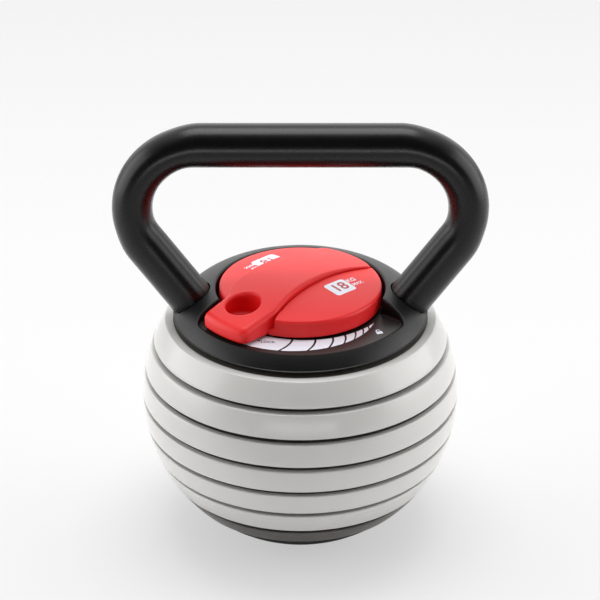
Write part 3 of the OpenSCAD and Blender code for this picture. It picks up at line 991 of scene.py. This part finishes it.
def paint_groove_shade(cast, sizes):
    """Gives the dark painted-shade finish to every face of a plate whose middle lies more than 5 mm
    inside the ball, so that the grooves between the plates are painted dark, as shade.
    """
    mesh = cast.data
    mesh.materials.append(finish("dark_bare_iron"))
    middles = np.zeros(len(mesh.polygons) * 3)
    mesh.polygons.foreach_get("center", middles)
    middles = middles.reshape(-1, 3)
    depth = ball_r(sizes, middles[:, 2]) - np.hypot(middles[:, 0], middles[:, 1])
    # painted shade: faces more than 5 mm inside the ball take the dark finish
    mesh.polygons.foreach_set("material_index", (depth > 5 * MM).astype(np.int32))


def peg(side, low, high):
    """Upright peg, or the socket for one, at one side of the hub."""
    return rod((0, side * 36 * MM, low), (0, side * 36 * MM, high), 4 * MM, 32)


def keyhole_arms(low):
    """The two arms that let the lugs through a plate's ledge."""
    outline = np.array([[-19.5, -5], [19.5, -5], [19.5, 5], [-19.5, 5]]) * MM
    return prism(outline, low + 8 * MM, low + 24 * MM)


def dock_profile(sizes):
    """Section of the dock: its rim, the ring in its groove, the boss with the recess for the
    catch plate, and the shaft under it."""
    low = DOCK_LO.z
    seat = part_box("plate_6")[0].z
    top = seat - sizes.groove
    ring = ball_r(sizes, seat) - sizes.groove_depth
    small, hub, catch = 0.4 * MM, sizes.hub_radius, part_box("catch_plate")[1].x + 0.2 * MM
    corners = rim_corners(sizes, low, top) + [
        (ring, top, 0), (ring, seat, small), (ring - sizes.seat_wall, seat, small),
        (ring - sizes.seat_wall, top, 0), (hub, top, 0), (hub, seat, small),
        (catch, seat, 0), (catch, seat - 5 * MM, 0), (20 * MM, seat - 5 * MM, 0),
        (20 * MM, low + 2 * MM, 0), (0, low + 2 * MM, 0), (0, low, 0)]
    return dense(rounded(corners)[::-1], 3 * MM)


def foot_profile(sizes):
    """Section of the rubber foot: a slice of the ball, a millimetre inside it, with a rounded
    tread and a plain bore."""
    low, high = FOOT_LO.z, FOOT_HI.z
    outer = rim_corners(sizes, low, high, inset=1 * MM)
    outer[0] = (*outer[0][:2], 2.2 * MM)
    bore = 42 * MM
    corners = outer + [(bore, high, 0.6 * MM), (bore, low, 1.5 * MM)]
    return dense(rounded(corners), 3 * MM)


# ---------------------------------------------------------------- operators


# Finishes of the nodes whose design solid is shown as it is
HARDWARE = {
    "head_plate": "black_powder_coat", "cap_screws": "bright_zinc_steel",
    "lever_screws": "bright_zinc_steel", "dial_bolt": "bright_zinc_steel",
    "dial_washer": "bright_zinc_steel", "wave_washer": "oiled_spring_steel",
    "thrust_washer": "natural_nylon", "spindle_bush": "sintered_bronze",
    "spindle": "bright_zinc_steel", "circlip": "oiled_spring_steel",
    "catch_plate": "bright_zinc_steel", "catch_screws": "bright_zinc_steel",
    "foot_screws": "bright_zinc_steel",
}


class KETTLEBELL_OT_handle(bpy.types.Operator):
    """Builds the bent tube handle"""

    bl_idname = "kettlebell.handle"
    bl_label = "Handle"

    def execute(self, context):
        tube = new_object("handle", *handle_shell(context.scene.kettlebell_handle))
        dress(tube, "black_powder_coat", "stack", ["handle_tube"], sharp=50)
        return {"FINISHED"}


class KETTLEBELL_OT_cap(bpy.types.Operator):
    """Builds the black cap with its well, recess and leg holes"""

    bl_idname = "kettlebell.cap"
    bl_label = "Top cap"

    def execute(self, context):
        sizes = context.scene.kettlebell_cap
        cap = new_object("cap", *cap_shell(sizes))
        wide = HANDLE_HI.y + sizes.gap
        carve(cap, [leg_rod(-1, wide), leg_rod(1, wide)])
        dress(cap, "black_grained_plastic", "stack", ["top_cap"])
        return {"FINISHED"}


class KETTLEBELL_OT_label(bpy.types.Operator):
    """Lays the dark label, its white band, its words and its padlock in the recess"""

    bl_idname = "kettlebell.label"
    bl_label = "Scale label"

    def execute(self, context):
        sizes = context.scene.kettlebell_cap
        film = new_object("label_sheet", *label_shell(sizes))
        dress(film, "dark_label_film", "stack", ["scale_label"])
        band = new_object("label_band", *band_shells())
        dress(band, "white_ink", "stack")
        level = LABEL_HI.z
        verts, faces = words_shell("LOCK", 3.7 * MM, 1.5 * MM, 0.02 * MM)
        at = math.radians(249.8)
        plan = turn(verts[:, :2], math.radians(-3)) + 63.2 * MM * np.array(
            [math.cos(at), math.sin(at)])
        words = outward(np.column_stack([plan, verts[:, 2] + level]), faces)
        at = math.radians(244.0)
        spot = 63.8 * MM * np.array([math.cos(at), math.sin(at)])
        arrow = np.array([[-1.3, 0], [0.9, -1.1], [0.9, 1.1]]) * MM
        wedge = prism(turn(arrow, math.radians(-12)) + spot, level - 0.01 * MM,
                      level + 0.01 * MM)
        sign = new_object("label_words", *merged([words, wedge]))
        dress(sign, "dark_ink", "stack")
        at = math.radians(319.7)
        spot = 69.7 * MM * np.array([math.cos(at), math.sin(at)])
        lock = new_object("label_padlock", *padlock_shells(
            spot, math.radians(20), 4.4 * MM, level - 0.06 * MM, level - 0.01 * MM))
        dress(lock, "white_ink", "stack")
        return {"FINISHED"}


class KETTLEBELL_OT_dial(bpy.types.Operator):
    """Builds the red dial and the lever across it"""

    bl_idname = "kettlebell.dial"
    bl_label = "Dial and lever"

    def execute(self, context):
        sizes = context.scene.kettlebell_lock
        disc = new_object("dial_disc", *turned(dial_profile(sizes), 360))
        for notch in tab_notches(sizes):
            carve(disc, [notch])
        carve(disc, [valley_groove(sizes)])
        dress(disc, "red_satin_plastic", "lock", ["dial"])
        bar = new_object("lever_bar", *lever_shell(sizes))
        dress(bar, "red_satin_plastic", "lock", ["lever"])
        return {"FINISHED"}


class KETTLEBELL_OT_prints(bpy.types.Operator):
    """Prints the weight on both sides of the dial"""

    bl_idname = "kettlebell.prints"
    bl_label = "Dial prints"

    def execute(self, context):
        sizes = context.scene.kettlebell_lock
        white, red = [], []
        for centre, by, wide, tall in BOXES:
            by += sizes.lever_turn
            middle = turn(np.array(centre) * MM, sizes.lever_turn)
            flat = turn(box_plan(wide * MM, tall * MM, 2.2 * MM), by) + middle
            z = dial_dome(sizes, np.linalg.norm(flat, axis=-1))
            white.append(sheet(flat, z - 0.05 * MM, z + 0.04 * MM))
            prints = ((sizes.number, 0.82 * tall, (0, 0), red),
                      ("KG", 5.6, (13.4, 3.0), white), ("MAX", 4.2, (14.4, -2.6), white))
            for words, size, at, ink in prints:
                verts, faces = words_shell(words, size * MM, 1.5 * MM, 0.08 * MM)
                spot = middle + turn(np.array(at) * MM, by)
                lift = (0.05 if ink is red else 0.0) * MM
                ink.append(outward(on_dial(sizes, verts, spot, by, lift), faces))
        boxes = new_object("print_boxes", *merged(white))
        dress(boxes, "white_ink", "lock")
        digits = new_object("print_digits", *merged(red))
        dress(digits, "red_ink", "lock")
        return {"FINISHED"}


class KETTLEBELL_OT_plates(bpy.types.Operator):
    """Builds the cast plates of the stack"""

    bl_idname = "kettlebell.plates"
    bl_label = "Plates"

    def execute(self, context):
        sizes = context.scene.kettlebell_stack
        lows = [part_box(name)[0].z for name in PLATES]
        pitch = lows[0] - lows[1]
        for i, (name, low) in enumerate(zip(PLATES, lows)):
            above_r = ball_r(sizes, lows[i - 1]) if i else CAP_HI.x + 2 * MM
            profile = plate_profile(sizes, low, pitch, above_r)
            cast = new_object(f"{name}_cast", *turned(profile, sizes.facets))
            sockets = [peg(side, low - 2 * MM, low + 4.4 * MM) for side in (-1, 1)]
            carve(cast, [keyhole_arms(low), *sockets])
            top = low + pitch
            carve(cast, [peg(side, top - 1 * MM, top + 3 * MM) for side in (-1, 1)], "UNION")
            dress(cast, "grey_cast_paint", "stack", [name])
            # the faces deep in the grooves take a dark colour as painted shade
            paint_groove_shade(cast, sizes)
        return {"FINISHED"}


class KETTLEBELL_OT_base(bpy.types.Operator):
    """Builds the dark dock and the rubber foot under the stack"""

    bl_idname = "kettlebell.base"
    bl_label = "Dock and foot"

    def execute(self, context):
        sizes = context.scene.kettlebell_stack
        dock = new_object("dock_body", *turned(dock_profile(sizes), sizes.facets))
        dress(dock, "dark_dock_gloss", "stack", ["dock"])
        tread = new_object("foot_tread", *turned(foot_profile(sizes), sizes.facets))
        dress(tread, "black_foot_rubber", "stack", ["foot_ring"])
        return {"FINISHED"}


class KETTLEBELL_OT_hardware(bpy.types.Operator):
    """Gives the screws, washers, spindle and catch plate their finishes"""

    bl_idname = "kettlebell.hardware"
    bl_label = "Hardware"

    def execute(self, context):
        for name, look in HARDWARE.items():
            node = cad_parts[name]
            if not node.material_slots:
                node.data.materials.append(finish(look))
            for place in node.material_slots:
                place.material = finish(look)
        return {"FINISHED"}


def floor_finish():
    """Plain matt white. The camera sees it evenly lit. For light that bounces it is bright
    round the object and duller towards the front, as a sweep under a softbox is."""
    material = bpy.data.materials.new("pale_floor")
    material.use_nodes = True
    tree = material.node_tree
    tree.nodes.clear()
    output = tree.nodes.new("ShaderNodeOutputMaterial")
    place = tree.nodes.new("ShaderNodeTexCoord")
    split = tree.nodes.new("ShaderNodeSeparateXYZ")
    path = tree.nodes.new("ShaderNodeLightPath")
    tree.links.new(place.outputs["Object"], split.inputs["Vector"])
    fade = tree.nodes.new("ShaderNodeMapRange")
    for socket, value in zip(("From Min", "From Max", "To Min", "To Max"),
                             (-0.6, -0.15, 0.45, 0.85)):
        fade.inputs[socket].default_value = value
    tree.links.new(split.outputs["Y"], fade.inputs["Value"])
    bounce = tree.nodes.new("ShaderNodeBsdfDiffuse")
    tree.links.new(fade.outputs["Result"], bounce.inputs["Color"])
    seen = tree.nodes.new("ShaderNodeBsdfDiffuse")
    seen.inputs["Color"].default_value = (FLOOR_GREY, FLOOR_GREY, FLOOR_GREY, 1)
    glow = tree.nodes.new("ShaderNodeEmission")
    glow.inputs["Color"].default_value = (1, 1, 1, 1)
    glow.inputs["Strength"].default_value = FLOOR_GLOW
    both = tree.nodes.new("ShaderNodeAddShader")
    tree.links.new(seen.outputs["BSDF"], both.inputs[0])
    tree.links.new(glow.outputs["Emission"], both.inputs[1])
    mix = tree.nodes.new("ShaderNodeMixShader")
    tree.links.new(path.outputs["Is Camera Ray"], mix.inputs["Fac"])
    tree.links.new(bounce.outputs["BSDF"], mix.inputs[1])
    tree.links.new(both.outputs["Shader"], mix.inputs[2])
    tree.links.new(mix.outputs["Shader"], output.inputs["Surface"])
    return material


def surroundings():
    """World that is dull in front, bright behind, and an even white to the camera."""
    world = bpy.data.worlds.new("surroundings")
    world.use_nodes = True
    tree = world.node_tree
    place = tree.nodes.new("ShaderNodeTexCoord")
    split = tree.nodes.new("ShaderNodeSeparateXYZ")
    tree.links.new(place.outputs["Generated"], split.inputs["Vector"])
    ramp = tree.nodes.new("ShaderNodeMapRange")
    for socket, value in zip(("From Min", "From Max", "To Min", "To Max"),
                             (-0.5, 1.0, 0.05, WORLD_BACK)):
        ramp.inputs[socket].default_value = value
    tree.links.new(split.outputs["Y"], ramp.inputs["Value"])
    path = tree.nodes.new("ShaderNodeLightPath")
    mix = tree.nodes.new("ShaderNodeMix")
    tree.links.new(path.outputs["Is Camera Ray"], mix.inputs["Factor"])
    tree.links.new(ramp.outputs["Result"], mix.inputs["A"])
    mix.inputs["B"].default_value = WORLD_SEEN
    back = tree.nodes["Background"]
    back.inputs["Color"].default_value = (1, 1, 1, 1)
    tree.links.new(mix.outputs["Result"], back.inputs["Strength"])
    return world


# Softboxes: name, place, point that it faces, width, height and watts
LAMPS = (
    ("overhead", (0, 0.3, 1.6), (0, 0, 0.12), 1.2, 0.9, 16.5),
    ("left_card", (-1.5, 0.0, 0.5), (0, 0, 0.12), 1.5, 1.2, 14.0),
    ("right_card", (1.5, 0.0, 0.5), (0, 0, 0.12), 1.5, 1.2, 14.0),
    ("front_low", (0, -1.9, 0.14), (0, 0, 0.08), 1.8, 0.26, 7.0),
)


def softbox(name, place, aim, wide, tall, watts):
    """Rectangular area light that faces a point."""
    light = bpy.data.lights.new(name, "AREA")
    light.shape, light.size, light.size_y, light.energy = "RECTANGLE", wide, tall, watts
    lamp = bpy.data.objects.new(name, light)
    lamp.location = place
    lamp.rotation_euler = (Vector(aim) - Vector(place)).to_track_quat("-Z", "Y").to_euler()
    bpy.context.scene.collection.objects.link(lamp)


class KETTLEBELL_OT_stage(bpy.types.Operator):
    """Sets up the floor, the lights, the surroundings and the camera"""

    bl_idname = "kettlebell.stage"
    bl_label = "Stage"

    def execute(self, context):
        sizes = context.scene.kettlebell_stage
        t = np.linspace(0, 2 * np.pi, 96, endpoint=False)
        ring = sizes.floor_radius * np.column_stack([np.cos(t), np.sin(t)])
        floor = new_object("floor", *prism(ring, -20 * MM, FOOT_LO.z - 0.05 * MM))
        floor.data.materials.append(floor_finish())
        context.scene.world = surroundings()

        for lamp in LAMPS:
            softbox(*lamp)

        lens = bpy.data.cameras.new("camera")
        lens.lens, lens.sensor_width = sizes.lens, 36.0
        lens.clip_start, lens.clip_end = 0.05, 60.0
        camera = bpy.data.objects.new("camera", lens)
        camera.location = (sizes.camera_side, -sizes.camera_distance, sizes.camera_height)
        camera.rotation_euler = (sizes.camera_pitch, 0, 0)
        context.scene.collection.objects.link(camera)
        context.scene.camera = camera
        context.scene.view_settings.view_transform = "Standard"
        return {"FINISHED"}


OPERATORS = (
    KETTLEBELL_OT_handle, KETTLEBELL_OT_cap, KETTLEBELL_OT_label, KETTLEBELL_OT_dial,
    KETTLEBELL_OT_prints, KETTLEBELL_OT_plates, KETTLEBELL_OT_base, KETTLEBELL_OT_hardware,
    KETTLEBELL_OT_stage,
)
GROUPS = {
    "kettlebell_handle": KettlebellHandleSizes, "kettlebell_cap": KettlebellCapSizes,
    "kettlebell_lock": KettlebellLockSizes, "kettlebell_stack": KettlebellStackSizes,
    "kettlebell_colours": KettlebellColours, "kettlebell_stage": KettlebellStageSizes,
}


class KETTLEBELL_PT_panel(bpy.types.Panel):
    """Sidebar panel with every size, colour and building step"""

    bl_idname = "KETTLEBELL_PT_panel"
    bl_label = "Kettlebell"
    bl_space_type = "VIEW_3D"
    bl_region_type = "UI"
    bl_category = "Kettlebell"

    def draw(self, context):
        for name, group in GROUPS.items():
            column = self.layout.column(align=True)
            for field in group.__annotations__:
                column.prop(getattr(context.scene, name), field)
        for operator in OPERATORS:
            self.layout.operator(operator.bl_idname)


def register():
    for name, group in GROUPS.items():
        bpy.utils.register_class(group)
        setattr(bpy.types.Scene, name, PointerProperty(type=group))
    for operator in OPERATORS:
        bpy.utils.register_class(operator)
    bpy.utils.register_class(KETTLEBELL_PT_panel)


def unregister():
    bpy.utils.unregister_class(KETTLEBELL_PT_panel)
    for operator in reversed(OPERATORS):
        bpy.utils.unregister_class(operator)
    for name, group in GROUPS.items():
        delattr(bpy.types.Scene, name)
        bpy.utils.unregister_class(group)


def main():
    register()
    for operator in OPERATORS:
        getattr(bpy.ops.kettlebell, operator.bl_idname.split(".")[1])()


if __name__ == "__main__":
    main()
